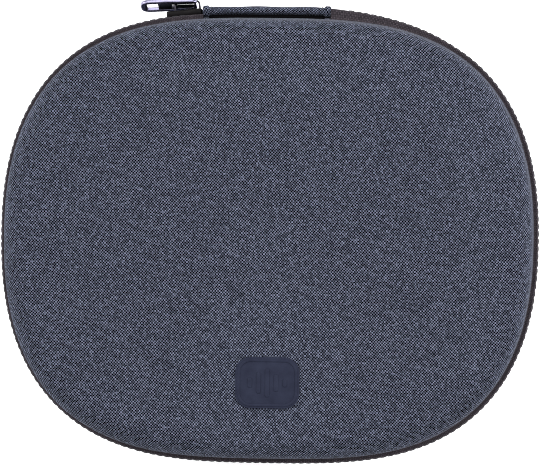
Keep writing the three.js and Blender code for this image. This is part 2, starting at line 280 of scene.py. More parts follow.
def yarn_shade(tree, number, along, lowest, highest, seed):
    """Shade from 0 to 1 that differs from yarn to yarn and drifts along each one."""
    place = add(tree, "CombineXYZ", [add(tree, "Math", [number, 7.31], operation="MULTIPLY"),
                                     add(tree, "Math", [along, 0.21], operation="MULTIPLY"), seed])
    drift = add(tree, "TexNoise", {"Vector": place, "Scale": 1.0, "Detail": 3.0, "Roughness": 0.7})
    return add(tree, "MapRange", {"Value": drift, "From Min": 0.3, "From Max": 0.7,
                                  "To Min": lowest, "To Max": highest}, clamp=True)


def heather_weave():
    material, tree = new_material("heather_polyester_plain_weave")
    u, v, column, row, across_u, across_v, top = yarn_grid(
        tree, YARN_WARP, YARN_WEFT, LEAN_WARP, LEAN_WEFT)
    warp = yarn_shade(tree, column, v, 0.45, 0.8, 3.0)
    weft = yarn_shade(tree, row, u, -0.75, 0.38, 11.0)
    shade = add(tree, "Mix", [top, weft, warp])
    crossing = add(tree, "CombineXYZ", [column, row])
    fleck = add(tree, "TexWhiteNoise", [crossing], noise_dimensions="2D")
    fleck = add(tree, "MapRange", {"Value": fleck, "To Min": 0.5, "To Max": 1.5})
    shade = add(tree, "Math", [shade, fleck], operation="MULTIPLY", use_clamp=True)
    back = add(tree, "Mix", [top, yarn_back(tree, across_v, across_u), yarn_back(tree, across_u, across_v)])
    colour = add(tree, "Mix", {"Factor": shade, "A": linear("#020309"), "B": linear("#797f94")},
                 data_type="RGBA")
    # Painted shade: the colour is multiplied down where the yarns dip, as shade in the gaps between them.
    gap = add(tree, "MapRange", {"Value": back, "From Min": 0.05, "From Max": 0.75,
                                 "To Min": 0.4, "To Max": 1.0}, clamp=True)
    colour = add(tree, "Mix", {"Factor": 1.0, "A": colour, "B": gap}, data_type="RGBA", blend_type="MULTIPLY")
    bump = add(tree, "Bump", {"Strength": 0.6, "Distance": 0.12 * MM, "Height": back})
    surface(tree, Base_Color=colour, Roughness=0.92, Normal=bump, Specular_IOR_Level=0.03,
            Sheen_Weight=0.05, Sheen_Roughness=0.3)
    return material


heather = heather_weave()
print("heather cloth:", YARN_WARP, "by", YARN_WEFT, "mm yarns")

# %% [markdown]
# ## The two shells
# Each half is a tray: a flat face, a rounded shoulder and a wall that leans in a few degrees so
# that it comes off its mould. The same section is drawn three times at growing depth, for the
# cloth, the foam and the lining, and each is a closed skin of its own. The cloth's map is flat
# across the face and runs straight down the wall from there, as a sheet does when it is pulled
# over a form.

# %% Shell section and skin
SHOULDER = 8.5
WALL_LEAN = math.radians(6)
WALL_END = 5.4
LID_DEPTH = lid_high[2] - PARTING
BASE_DEPTH = PARTING - base_low[2]
CROWN_RISE = 0.35


def shell_half_section(depth, offset, edge, arc_steps, wall_steps):
    """Distance inside the rim line and height off the parting plane, from face edge to wall end."""
    radius = SHOULDER - offset
    centre_height = depth - SHOULDER
    wall_height = centre_height + SHOULDER * math.sin(WALL_LEAN) - WALL_END
    centre_in = RIM_INSET + SHOULDER * math.cos(WALL_LEAN) + wall_height * math.tan(WALL_LEAN)
    angle = np.linspace(math.pi / 2, WALL_LEAN, arc_steps + 1)
    arc_in = centre_in - radius * np.cos(angle)
    arc_height = centre_height + radius * np.sin(angle)
    height = np.linspace(arc_height[-1], edge, wall_steps + 1)[1:]
    wall_in = arc_in[-1] - (arc_height[-1] - height) * math.tan(WALL_LEAN)
    return np.concatenate([arc_in, wall_in]), np.concatenate([arc_height, height])


def shell_skin(name, depth, side, offsets, edge, stations, lip, rise=0.0):
    """A closed skin between two offsets of the shell section, with a rolled lip at its edge."""
    outer, inner = offsets
    half = (inner - outer) / 2
    out_in, out_height = shell_half_section(depth, outer, edge + lip, 9, 7)
    inn_in, inn_height = shell_half_section(depth, inner, edge + lip, 6, 3)
    roll = np.linspace(0, math.pi, 7)[1:-1]
    roll_in = out_in[-1] + half - half * np.cos(roll)
    roll_height = edge + lip - lip * np.sin(roll)
    section_in = np.concatenate([out_in, roll_in, inn_in[::-1]])
    section_height = np.concatenate([out_height, roll_height, inn_height[::-1]])
    along = np.arange(stations) * RIM_LENGTH / stations
    band = on_rim(along[:, None], -section_in[None, :], (PARTING + side * section_height)[None, :])
    step = np.hypot(np.diff(section_in), np.diff(section_height))
    travel = np.concatenate([[0], np.cumsum(step)])
    _, normal = rim(along)
    band_cloth = band[:, :1, :2] + normal[:, None, :] * travel[None, :, None]
    shrink = np.array([0.97, 0.92, 0.84, 0.74, 0.62, 0.48, 0.34, 0.2, 0.08])
    lift = rise * (1 - shrink ** 2) ** 1.5
    face = band[:, :1] * np.array([1, 1, 0]) * shrink[None, :, None]
    face[..., 2] = band[:, :1, 2] + side * lift
    back = band[:, -1:] * np.array([1, 1, 0]) * shrink[None, ::2, None]
    back[..., 2] = band[:, -1:, 2] + side * lift[::2]
    rows = np.concatenate([face[:, ::-1], band, back], 1)
    cloth = np.concatenate([face[:, ::-1, :2], band_cloth, back[..., :2]], 1)
    points = rows.shape[1]
    vertices = np.concatenate([rows.reshape(-1, 3), rows[:, 0].mean(0)[None], rows[:, -1].mean(0)[None]])
    faces = []
    corners = []
    for i in range(stations):
        after = (i + 1) % stations
        for j in range(points - 1):
            quad = [(i, j), (after, j), (after, j + 1), (i, j + 1)]
            faces.append([a * points + b for a, b in quad])
            corners += [cloth[a, b] for a, b in quad]
        faces.append([after * points, i * points, stations * points])
        corners += [cloth[after, 0], cloth[i, 0], np.zeros(2)]
        faces.append([i * points + points - 1, after * points + points - 1, stations * points + 1])
        corners += [cloth[i, -1], cloth[after, -1], np.zeros(2)]
    return make_piece(name, vertices, faces, corners)


lid_cover = shell_skin("lid_cover_cloth", LID_DEPTH, 1, (0.0, 1.0), WALL_END, 320, 0.5, CROWN_RISE)
dress(lid_cover, heather, "lid", "heather_fabric", "lid_cover")
base_cover = shell_skin("base_cover_cloth", BASE_DEPTH, -1, (0.0, 1.0), WALL_END, 320, 0.5)
dress(base_cover, heather, "base", "heather_fabric", "base_cover")
print("cloth skins:", len(lid_cover.data.polygons), "and", len(base_cover.data.polygons), "faces")

# %% [markdown]
# ## Foam, lining and bound edges
# Under the cloth is a moulded EVA foam tray, and inside that a brushed knit. Both follow the
# same section as the cloth, only deeper. A grosgrain ribbon closes the raw edge between them.
# Foam shows fine closed cells, brushed knit a soft directionless nap that catches light at a
# glancing angle, and grosgrain the cross ribs of its heavy weft.

# %% Foam and lining finishes
def eva_foam():
    material, tree = new_material("moulded_eva_foam")
    cloth = add(tree, "UVMap", uv_map="cloth")
    cells = add(tree, "TexVoronoi", {"Vector": cloth, "Scale": 2.6}, voronoi_dimensions="2D")
    colour = add(tree, "Mix", {"Factor": cells, "A": linear("#17191d"), "B": linear("#2a2c31")},
                 data_type="RGBA")
    bump = add(tree, "Bump", {"Strength": 0.5, "Distance": 0.08 * MM, "Height": cells})
    surface(tree, Base_Color=colour, Roughness=0.78, Normal=bump, Specular_IOR_Level=0.35)
    return material


def brushed_knit():
    material, tree = new_material("brushed_tricot_lining")
    cloth = add(tree, "UVMap", uv_map="cloth")
    turned = add(tree, "Mapping", {"Vector": cloth, "Scale": (0.9, 3.2, 1.0)})
    nap = add(tree, "TexNoise", {"Vector": turned, "Scale": 1.6, "Detail": 4.0, "Roughness": 0.7})
    wales = add(tree, "TexWave", {"Vector": cloth, "Scale": 0.42, "Distortion": 2.5, "Detail": 2.0})
    cloudy = add(tree, "TexNoise", {"Vector": cloth, "Scale": 0.045, "Detail": 2.0})
    shade = add(tree, "Math", [wales, 0.25, nap], operation="MULTIPLY_ADD")
    shade = add(tree, "Math", [cloudy, 0.5, shade], operation="MULTIPLY_ADD")
    shade = add(tree, "MapRange", {"Value": shade, "From Min": 0.5, "From Max": 1.2})
    colour = add(tree, "Mix", {"Factor": shade, "A": linear("#1b1c21"), "B": linear("#3b3d45")},
                 data_type="RGBA")
    bump = add(tree, "Bump", {"Strength": 0.5, "Distance": 0.15 * MM, "Height": shade})
    surface(tree, Base_Color=colour, Roughness=0.95, Normal=bump, Specular_IOR_Level=0.2,
            Sheen_Weight=0.25, Sheen_Roughness=0.35)
    return material


def ribbed_ribbon(name, rib, dark, pale):
    """A woven ribbon whose ribs cross its length, one every rib millimetres."""
    material, tree = new_material(name)
    cloth = add(tree, "UVMap", uv_map="cloth")
    run = add(tree, "SeparateXYZ", [cloth])
    phase = add(tree, "Math", [run, 2 * math.pi / rib], operation="MULTIPLY")
    wave = add(tree, "Math", [phase], operation="SINE")
    wave = add(tree, "Math", [wave, 0.5, 0.5], operation="MULTIPLY_ADD")
    fibre = add(tree, "TexNoise", {"Vector": cloth, "Scale": 2.2, "Detail": 4.0, "Roughness": 0.75})
    shade = add(tree, "Math", [fibre, 0.9, -0.2], operation="MULTIPLY_ADD")
    shade = add(tree, "Math", [wave, 0.45, shade], operation="MULTIPLY_ADD", use_clamp=True)
    colour = add(tree, "Mix", {"Factor": shade, "A": linear(dark), "B": linear(pale)}, data_type="RGBA")
    bump = add(tree, "Bump", {"Strength": 0.7, "Distance": 0.12 * MM, "Height": shade})
    surface(tree, Base_Color=colour, Roughness=0.85, Normal=bump, Specular_IOR_Level=0.3,
            Sheen_Weight=0.08, Sheen_Roughness=0.4)
    return material


foam = eva_foam()
lining = brushed_knit()
grosgrain = ribbed_ribbon("polyester_grosgrain_ribbon", 0.9, "#0c0d10", "#2c2e34")
print("inner finishes:", foam.name, lining.name, grosgrain.name)

# %% Foam, lining and ribbon round both halves
CORE_OFFSETS = (1.3, 4.7)
LINING_OFFSETS = (5.0, 5.8)
INNER_EDGE = 6.4
RIBBON_SECTION = [(3.65, 5.2), (3.55, 5.5), (3.65, 5.85), (4.1, 6.02), (5.2, 6.08), (6.9, 6.08),
                  (7.9, 6.02), (8.35, 5.85), (8.45, 5.5), (8.35, 5.2), (7.9, 5.0), (6.8, 4.93),
                  (5.2, 4.93), (4.1, 5.0)]


def sweep(section, along, side, shift=None):
    """Rows of a section of (distance inside the rim, height off the parting plane) points."""
    section = np.asarray(section, float)
    out = -section[None, :, 0] + (0 if shift is None else shift)
    out = np.broadcast_to(out, (len(along), len(section)))
    return on_rim(np.broadcast_to(along[:, None], out.shape), out, PARTING + side * section[:, 1])


round_rim = np.arange(360) * RIM_LENGTH / 360
for half, depth, side in (("lid", LID_DEPTH, 1), ("base", BASE_DEPTH, -1)):
    core = shell_skin(half + "_core_foam", depth, side, CORE_OFFSETS, INNER_EDGE, 160, 0.6)
    dress(core, foam, half, "eva_foam", half + "_core")
    inside = shell_skin(half + "_lining_knit", depth, side, LINING_OFFSETS, INNER_EDGE, 240, 0.4)
    dress(inside, lining, half, "lining_fabric", half + "_lining")
    ribbon = loft(half + "_edge_ribbon", sweep(RIBBON_SECTION, round_rim, side), around=True)
    dress(ribbon, grosgrain, half, "edge_ribbon", half + "_binding")
print("ribbon", len(ribbon.data.polygons), "faces each")

# %% [markdown]
# ## The coil zip
# Each half of the zip is a woven tape, sewn under the edge of the shell's cloth, with a nylon
# filament wound along its free edge. Wound and pressed, the filament reads as a row of rounded
# teeth whose heads lock between those of the other half. Near the right end of the hinge the zip
# stands out from the shell and fades back into line, because it was sewn in with some slack.
# Teeth are modelled one by one, since a bump could not show the gaps between them.

# %% Zip measures
ZIP_START = 27.6
ZIP_END = -26.2
ZIP_SPAN = (ZIP_END - ZIP_START) % RIM_LENGTH
STRIP_LEFT = 27.45
STRIP_RIGHT = -23.6
BULGE = 2.5
BULGE_LENGTH = 52.0
TOOTH_PITCH = 1.22
TAPE_LINE = [(0.95, 0.5), (0.8, 1.6), (0.5, 2.4), (0.26, 3.1), (0.3, 3.65), (0.62, 4.02), (1.1, 3.95),
             (1.6, 3.72), (2.1, 3.85), (2.55, 4.4), (2.85, 4.95)]
TAPE_TUCK = 2.75
TAPE_FREE = 0.9


def zip_bulge(along):
    before = (STRIP_RIGHT - np.asarray(along)) % RIM_LENGTH
    return BULGE * (1 - np.minimum(before / BULGE_LENGTH, 1)) ** 1.15


def banded(line, thickness):
    """A closed section of a band of that thickness along a line of points, with rounded edges."""
    line = np.asarray(line, float)
    run = np.gradient(line, axis=0)
    run /= np.linalg.norm(run, axis=1)[:, None]
    side = np.stack([-run[:, 1], run[:, 0]], 1) * thickness / 2
    first = line[0] - run[0] * thickness / 2
    last = line[-1] + run[-1] * thickness / 2
    return np.concatenate([line + side, last[None], (line - side)[::-1], first[None]])


def tape_shift(along, section):
    fade = np.clip((TAPE_TUCK - np.asarray(section)[:, 0]) / (TAPE_TUCK - TAPE_FREE), 0, 1)
    return zip_bulge(along)[:, None] * fade[None, :]


TOOTH_COUNT = int((ZIP_SPAN - 2) / TOOTH_PITCH)
print("zip length", round(ZIP_SPAN), "mm,", TOOTH_COUNT, "teeth a side")

# %% Zip finishes
def moulded_nylon(name, dark, pale, roughness, gloss=0.5):
    material, tree = new_material(name)
    position = add(tree, "TexCoord").node.outputs["Object"]
    cloudy = add(tree, "TexNoise", {"Vector": position, "Scale": 900.0, "Detail": 3.0})
    colour = add(tree, "Mix", {"Factor": cloudy, "A": linear(dark), "B": linear(pale)}, data_type="RGBA")
    rough = add(tree, "Math", [cloudy, 0.25, roughness], operation="MULTIPLY_ADD")
    bump = add(tree, "Bump", {"Strength": 0.2, "Distance": 0.03 * MM, "Height": cloudy})
    surface(tree, Base_Color=colour, Roughness=rough, Normal=bump, IOR=1.53, Specular_IOR_Level=gloss)
    return material


def zip_tape_weave():
    material, tree = new_material("woven_polyester_zip_tape")
    u, v, column, row, across_u, across_v, top = yarn_grid(tree, 0.7, 0.5, wander=0.05)
    back = add(tree, "Mix", [top, yarn_back(tree, across_v, across_u), yarn_back(tree, across_u, across_v)])
    warp = yarn_shade(tree, column, v, 0.2, 0.9, 5.0)
    weft = yarn_shade(tree, row, u, 0.0, 0.6, 8.0)
    shade = add(tree, "Mix", [top, weft, warp])
    # Painted shade: each yarn's colour darkens towards its edges and ends, where it dips under its
    # neighbours.
    shade = add(tree, "Math", [shade, back], operation="MULTIPLY", use_clamp=True)
    colour = add(tree, "Mix", {"Factor": shade, "A": linear("#151217"), "B": linear("#5d545c")},
                 data_type="RGBA")
    bump = add(tree, "Bump", {"Strength": 0.6, "Distance": 0.1 * MM, "Height": back})
    surface(tree, Base_Color=colour, Roughness=0.88, Normal=bump, Specular_IOR_Level=0.25,
            Sheen_Weight=0.06, Sheen_Roughness=0.4)
    return material


tape_cloth = zip_tape_weave()
coil_nylon = moulded_nylon("pressed_nylon_filament", "#121216", "#24242a", 0.38)
thread = moulded_nylon("bonded_polyester_thread", "#15161a", "#2f3138", 0.6)
# Near-black finish for the groove cords, which paint the hinge grooves dark in place of their shade.
groove_shade_cord = moulded_nylon("matt_black_groove_shade_cord", "#020203", "#0b0b0d", 0.7, gloss=0.05)
print("zip finishes:", tape_cloth.name, coil_nylon.name, thread.name)

# %% Tapes, teeth and stitches
TOOTH_HEIGHTS = [2.7, 2.5, 1.9, 0.6, 0.25, -0.1, -0.36]
TOOTH_WIDTHS = [0.14, 0.26, 0.31, 0.3, 0.35, 0.36, 0.2]
TOOTH_DEPTHS = [0.14, 0.3, 0.38, 0.38, 0.42, 0.4, 0.2]
TOOTH_MIDDLE = 0.44


def joined_tubes(name, tubes, sharp=60):
    """Many closed tubes, each an array of rings, as one piece."""
    vertices = []
    faces = []
    corners = []
    for tube in tubes:
        rings, points = tube.shape[:2]
        first = len(vertices)
        vertices += list(tube.reshape(-1, 3))
        for i in range(rings - 1):
            for j in range(points):
                quad = [(i, j), (i + 1, j), (i + 1, (j + 1) % points), (i, (j + 1) % points)]
                faces.append([first + a * points + b for a, b in quad])
                corners += [(0.4 * i, 0.2 * j), (0.4 * i + 0.4, 0.2 * j), (0.4 * i + 0.4, 0.2 * j + 0.2),
                            (0.4 * i, 0.2 * j + 0.2)]
        faces.append([first + j for j in range(points)])
        faces.append([first + (rings - 1) * points + j for j in reversed(range(points))])
        corners += [(0, 0)] * (2 * points)
    return make_piece(name, vertices, faces, corners, sharp)


def tooth_tubes(side, phase):
    spin = np.linspace(0, 2 * np.pi, 8, endpoint=False) + np.pi / 8
    wire_x = np.sign(np.cos(spin)) * np.abs(np.cos(spin)) ** 0.7
    wire_y = np.sign(np.sin(spin)) * np.abs(np.sin(spin)) ** 0.7
    heights = np.array(TOOTH_HEIGHTS)
    for k in range(TOOTH_COUNT):
        middle = ZIP_START + 1 + (k + phase) * TOOTH_PITCH
        along = middle + wire_x[None, :] * np.array(TOOTH_WIDTHS)[:, None]
        depth = TOOTH_MIDDLE - wire_y[None, :] * np.array(TOOTH_DEPTHS)[:, None]
        z = np.broadcast_to(PARTING + side * heights[:, None], along.shape)
        yield on_rim(along, zip_bulge(along) - depth, z)


def stitch_tubes(starts, ends, ups, radius=0.17, sink=0.12):
    """A bowed bead of thread for every stitch, dipping into the cloth at both ends."""
    spin = np.linspace(0, 2 * np.pi, 6, endpoint=False)
    for start, end, up in zip(starts, ends, ups):
        run = (end - start) / np.linalg.norm(end - start)
        across = np.cross(run, up)
        rings = []
        bow = ((0, -sink, 0.5), (0.12, 0.4, 0.9), (0.5, 0.8, 1.0), (0.88, 0.4, 0.9), (1, -sink, 0.5))
        for t, lift, size in bow:
            middle = start + (end - start) * t + up * lift * radius
            ring = np.cos(spin)[:, None] * across + np.sin(spin)[:, None] * up
            rings.append(middle + ring * radius * size)
        yield np.array(rings)


def rim_stitches(start, span, inset, height, side, tilt, length=2.4, gap=0.6, shift=None):
    """Stitches along the rim; tilt is how far their upper side leans up from straight out."""
    first = start + np.arange(int(span / (length + gap))) * (length + gap)
    push = (lambda a: 0 * a) if shift is None else shift
    starts = on_rim(first, push(first) - inset, PARTING + side * height + 0 * first)
    last = first + length
    ends = on_rim(last, push(last) - inset, PARTING + side * height + 0 * last)
    _, normal = rim(first + length / 2)
    ups = np.concatenate([normal * math.cos(tilt), np.full((len(first), 1), side * math.sin(tilt))], 1)
    return stitch_tubes(starts, ends, ups)


TAPE_TAIL = 2.4
zip_along = ZIP_START - 0.25 + np.linspace(0, ZIP_SPAN + TAPE_TAIL + 0.4, 400)
tape_section = banded(TAPE_LINE, 0.34)
for half, side, phase in (("lid", 1, 0.0), ("base", -1, 0.5)):
    rows = sweep(tape_section, zip_along, side, tape_shift(zip_along, tape_section))
    tape = loft(half + "_zip_tape_cloth", rows)
    dress(tape, tape_cloth, half, "zip_tape", half + "_zip_tape")
    coil = joined_tubes(half + "_zip_teeth", tooth_tubes(side, phase))
    dress(coil, coil_nylon, half, "zip_nylon", half + "_zip_coil")
    seam = rim_stitches(ZIP_START + 1, ZIP_SPAN - 2, 0.12, 3.2, side, 0.1, shift=zip_bulge)
    stitched = joined_tubes(half + "_zip_stitching", seam)
    dress(stitched, thread, half, "zip_tape")
print("teeth piece", len(coil.data.polygons), "faces")

# %% [markdown]
# ## The fabric hinge
# Behind the case a doubled strip of the same heather cloth is sewn under both shells' edges. It
# dives into a groove beside each edge and stands out in a soft roll between them, and its two
# ends are folded back on themselves as hems, so they are thicker. A knit strip inside it hides
# the seam. Each is one closed band with enough rows across it to turn smoothly.

# %% Hinge strip and its lining
STRIP_LINE = [(-3.1, 4.85), (-2.8, 4.5), (-2.6, 3.9), (-2.5, 3.1), (-2.35, 2.1), (-1.95, 1.3), (-1.3, 1.0),
              (-0.6, 1.2), (-0.2, 2.1), (-0.05, 3.0), (0.2, 3.6), (0.75, 3.9), (1.3, 3.8), (1.8, 3.4),
              (2.2, 2.6), (2.45, 1.4), (2.5, 0.0)]
LINING_LINE = [(-3.75, 4.5), (-3.35, 3.6), (-3.1, 2.6), (-2.95, 1.4), (-2.9, 0.0)]
STRIP_THICKNESS = 0.6
LINING_THICKNESS = 0.5
HEM_LENGTH = 2.3
HEM_EXTRA = 0.65


def mirrored(line):
    """A line of (out, height) points from the base's edge up to the lid's, given its upper half."""
    upper = [(out, height) for out, height in line]
    lower = [(out, -height) for out, height in upper[:-1]]
    return lower + upper[::-1]


def rounded(line, times=2):
    """Cuts the corners of a line, which keeps its ends."""
    line = np.asarray(line, float)
    for _ in range(times):
        cut = np.empty((2 * len(line) - 2, 2))
        cut[0::2] = 0.75 * line[:-1] + 0.25 * line[1:]
        cut[1::2] = 0.25 * line[:-1] + 0.75 * line[1:]
        line = np.concatenate([line[:1], cut, line[-1:]])
    return line


def across_band(line, thickness, along, extra):
    """Rows of a band over a (out, height) line, whose outer face rises by extra at each station."""
    line = rounded(line)
    run = np.gradient(line, axis=0)
    run /= np.linalg.norm(run, axis=1)[:, None]
    side = np.stack([run[:, 1], -run[:, 0]], 1)
    rows = []
    for place, more in zip(along, extra):
        outer = line + side * (thickness / 2 + more)
        inner = line - side * thickness / 2
        first = line[0] - run[0] * thickness / 2
        last = line[-1] + run[-1] * thickness / 2
        section = np.concatenate([outer, last[None], inner[::-1], first[None]])
        rows.append(on_rim(np.full(len(section), place), section[:, 0], PARTING + section[:, 1]))
    return np.array(rows)


strip_span = STRIP_LEFT - STRIP_RIGHT
edge_steps = np.array([0.0, 0.12, 0.35, 0.8, 1.4, 2.0, 2.25, 2.45, 2.7])
strip_along = np.concatenate([STRIP_RIGHT + edge_steps, np.linspace(STRIP_RIGHT + 3.6, STRIP_LEFT - 3.6, 32),
                              (STRIP_LEFT - edge_steps)[::-1]])
from_end = np.minimum(strip_along - STRIP_RIGHT, STRIP_LEFT - strip_along)
hem = np.clip((HEM_LENGTH + 0.3 - from_end) / 0.5, 0, 1) * np.clip(0.35 + from_end / 0.5, 0, 1)
hem_rise = HEM_EXTRA * hem * hem * (3 - 2 * hem) - 0.25 * np.clip(1 - from_end / 0.3, 0, 1)
sag = 0.12 * np.sin(strip_along * 0.31) * np.clip(from_end / 6, 0, 1)
strip_rows = across_band(mirrored(STRIP_LINE), STRIP_THICKNESS, strip_along, hem_rise + sag)
hinge = loft("hinge_strip_cloth", strip_rows)
dress(hinge, heather, None, "heather_fabric", "hinge_strip")

# %% Hem stitches
def hem_stitches(place):
    """A column of stitches over the roll of the strip, at one place along it."""
    line = rounded(mirrored(STRIP_LINE), 1)
    line = line[line[:, 0] > 0.6]
    travel = np.concatenate([[0], np.cumsum(np.linalg.norm(np.diff(line, axis=0), axis=1))])
    marks = np.arange(0.4, travel[-1] - 1.9, 2.2)
    run = np.gradient(line, axis=0)
    run /= np.linalg.norm(run, axis=1)[:, None]

    def spot(distance):
        out = np.interp(distance, travel, line[:, 0])
        height = np.interp(distance, travel, line[:, 1])
        lift_out = np.interp(distance, travel, run[:, 1])
        lift_up = np.interp(distance, travel, -run[:, 0])
        _, normal = rim(place)
        up = np.stack([normal[0] * lift_out, normal[1] * lift_out, lift_up], -1)
        up /= np.linalg.norm(up, axis=1)[:, None]
        return on_rim(np.full(len(distance), place), out, PARTING + height) + up * STRIP_THICKNESS / 2, up

    starts, _ = spot(marks)
    ends, _ = spot(marks + 1.7)
    _, ups = spot(marks + 0.85)
    return list(stitch_tubes(starts, ends, ups, radius=0.16, sink=0.1))


hems = hem_stitches(STRIP_RIGHT + 3.4) + hem_stitches(STRIP_LEFT - 3.4)
hem_thread = joined_tubes("hinge_hem_stitching", hems)
dress(hem_thread, thread, None, "heather_fabric")

# %% [markdown]
# A near-black cord lies in each groove and darkens it, standing in for the groove's shade; the real case is
# not known to have a cord there.

# %% Groove cords
CORD_MIDDLE = (-1.35, 1.85)
CORD_HALF = (0.9, 0.62)
cord_along = np.linspace(STRIP_RIGHT + 0.2, STRIP_LEFT - 0.2, 60)
cord_spin = np.linspace(0, 2 * np.pi, 12, endpoint=False)
cord_out = CORD_MIDDLE[0] + CORD_HALF[0] * np.cos(cord_spin)
cord_height = CORD_MIDDLE[1] + CORD_HALF[1] * np.sin(cord_spin)
cord_tubes = []
for side in (1, -1):
    rings = [on_rim(np.full(12, place), cord_out, PARTING + side * cord_height) for place in cord_along]
    cord_tubes.append(np.array(rings))
# These cords paint the hinge grooves dark, in place of their shade.
cords = joined_tubes("hinge_groove_shade_cords", cord_tubes)
dress(cords, groove_shade_cord, None, "edge_ribbon")
print("groove cords", 2 * CORD_HALF[0], "mm wide")

# %% [markdown]
# The knit lining bridges the two shells inside the strip.

# %% Hinge lining
lining_along = np.linspace(STRIP_RIGHT + 0.6, STRIP_LEFT - 0.6, 30)
lining_rows = across_band(mirrored(LINING_LINE), LINING_THICKNESS, lining_along, 0 * lining_along)
hinge_inside = loft("hinge_lining_knit", lining_rows)
dress(hinge_inside, lining, None, "lining_fabric", "hinge_lining")
for piece, reach in ((hinge, 4.4), (hem_thread, 4.4), (cords, 4.4), (hinge_inside, 4.0)):
    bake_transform(piece)
print("hinge strip", round(strip_span, 1), "mm long,", len(hinge.data.polygons), "faces")

# %% [markdown]
# ## Slider, crown and pull
# The slider is die-cast zinc with baked black paint: two channels that clamp the teeth, joined
# by a wedge at the mouth end. A plated arch on top, the crown, holds the pull, which is a cast
# frame with a polished rim, a recessed panel and a window in its tail. All of these are small
# lofts in the slider's own axes: x along the rim towards the hinge, y out of the case, z up.

# %% Metal finishes
def baked_black_paint():
    material, tree = new_material("die_cast_zinc_baked_black_paint")
    position = add(tree, "TexCoord").node.outputs["Object"]
    grain = add(tree, "TexNoise", {"Vector": position, "Scale": 5200.0, "Detail": 3.0})
    worn = add(tree, "Bevel", {"Radius": 0.25 * MM}, samples=4)
    flat = add(tree, "NewGeometry").node.outputs["Normal"]
    edge = add(tree, "VectorMath", [worn, flat], operation="DOT_PRODUCT").node.outputs["Value"]
    edge = add(tree, "MapRange", {"Value": edge, "From Min": 0.99, "From Max": 0.85})
    rub = add(tree, "Math", [edge, grain], operation="MULTIPLY")
    colour = add(tree, "Mix", {"Factor": grain, "A": linear("#020102"), "B": linear("#0f0b0d")},
                 data_type="RGBA")
    colour = add(tree, "Mix", {"Factor": rub, "A": colour, "B": linear("#332e30")}, data_type="RGBA")
    bump = add(tree, "Bump", {"Strength": 0.35, "Distance": 0.03 * MM, "Height": grain})
    surface(tree, Base_Color=colour, Roughness=0.55, Normal=bump, Specular_IOR_Level=0.15)
    return material


def polished_gunmetal(name, dark, pale, roughness):
    material, tree = new_material(name)
    position = add(tree, "TexCoord").node.outputs["Object"]
    long_way = add(tree, "Mapping", {"Vector": position, "Scale": (900.0, 2600.0, 9000.0)})
    lines = add(tree, "TexNoise", {"Vector": long_way, "Scale": 1.0, "Detail": 2.0})
    haze = add(tree, "TexNoise", {"Vector": position, "Scale": 450.0, "Detail": 2.0})
    colour = add(tree, "Mix", {"Factor": haze, "A": linear(dark), "B": linear(pale)}, data_type="RGBA")
    rough = add(tree, "Math", [lines, 0.14, roughness], operation="MULTIPLY_ADD")
    bump = add(tree, "Bump", {"Strength": 0.06, "Distance": 0.01 * MM, "Height": lines})
    surface(tree, Base_Color=colour, Metallic=1.0, Roughness=rough, Normal=bump)
    return material


black_paint = baked_black_paint()
gunmetal = polished_gunmetal("polished_gunmetal_plating", "#716e86", "#9a96b0", 0.2)
dark_plating = polished_gunmetal("blackened_nickel_plating", "#2c2a30", "#444149", 0.24)
print("metal finishes:", black_paint.name, gunmetal.name, dark_plating.name)

# %% Slider axes and body
SLIDER_AT = 34.9
slider_place, slider_out = rim(SLIDER_AT)
SLIDER_AXES = np.array([[slider_out[1], -slider_out[0], 0], [slider_out[0], slider_out[1], 0], [0, 0, 1]])
SLIDER_ORIGIN = np.array([slider_place[0], slider_place[1], PARTING])


def from_slider(points):
    return SLIDER_ORIGIN + np.asarray(points, float) @ SLIDER_AXES


def several_lofts(name, blocks, place, sharp=45):
    """Closed lofts, each rows of rings, put together as one piece."""
    return joined_tubes(name, [place(rows) for rows in blocks], sharp)


def channel_rows(stations, outer, inner, lip, facing):
    """A channel along x: outer and inner faces of its web, and how far its two lips reach.
    facing is 1 if the lips point down the y axis and -1 if they point up it."""
    rows = []
    for x, half, trim in stations:
        top = outer - facing * trim
        wide = half - trim
        thick = 0.68
        section = [(top - facing * 0.12, 0), (top - facing * 0.1, wide * 0.5), (top, wide - 0.75),
                   (top - facing * 0.14, wide - 0.32), (top - facing * 0.45, wide - 0.06),
                   (top - facing * 0.8, wide), (lip + facing * 0.2, wide), (lip, wide - 0.18),
                   (lip, wide - thick + 0.15), (lip + facing * 0.2, wide - thick),
                   (inner - facing * 0.15, wide - thick), (inner, wide - thick - 0.2), (inner, wide * 0.4)]
        mirror = [(y, -z) for y, z in section[:0:-1]]
        rows.append([(x, y, z) for y, z in section + [(inner, 0)] + mirror])
    return np.array(rows)


def plate_stations(half):
    """(x, half height, trim) along a plate, whose two ends are rounded by the trim."""
    tail = half * 0.78
    shape = [(-7.2, tail - 0.7), (-7.05, tail - 0.3), (-6.7, tail - 0.06), (-6.2, tail), (-3, tail),
             (-0.4, tail + 0.02), (0.6, tail + 0.12), (2.2, half - 0.1), (3.2, half), (5.6, half),
             (6.5, half - 0.08), (6.95, half - 0.35), (7.2, half - 0.8)]
    return [(x, size, 0.4 if abs(x) > 7.15 else 0.15 if abs(x) > 6.9 else 0.03 if abs(x) > 6.6 else 0.0)
            for x, size in shape]


def wedge_rows():
    rows = []
    for y in np.linspace(-3.0, 1.3, 6):
        pinch = 1 - 0.25 * math.sin((y + 3.0) / 4.3 * math.pi)
        outline = [(3.4, 0), (4.2, 0.28), (5.4, 0.42), (6.5, 0.34), (6.85, 0.12), (6.85, -0.12),
                   (6.5, -0.34), (5.4, -0.42), (4.2, -0.28)]
        rows.append([(x, y, z * pinch) for x, z in outline])
    return np.array(rows)


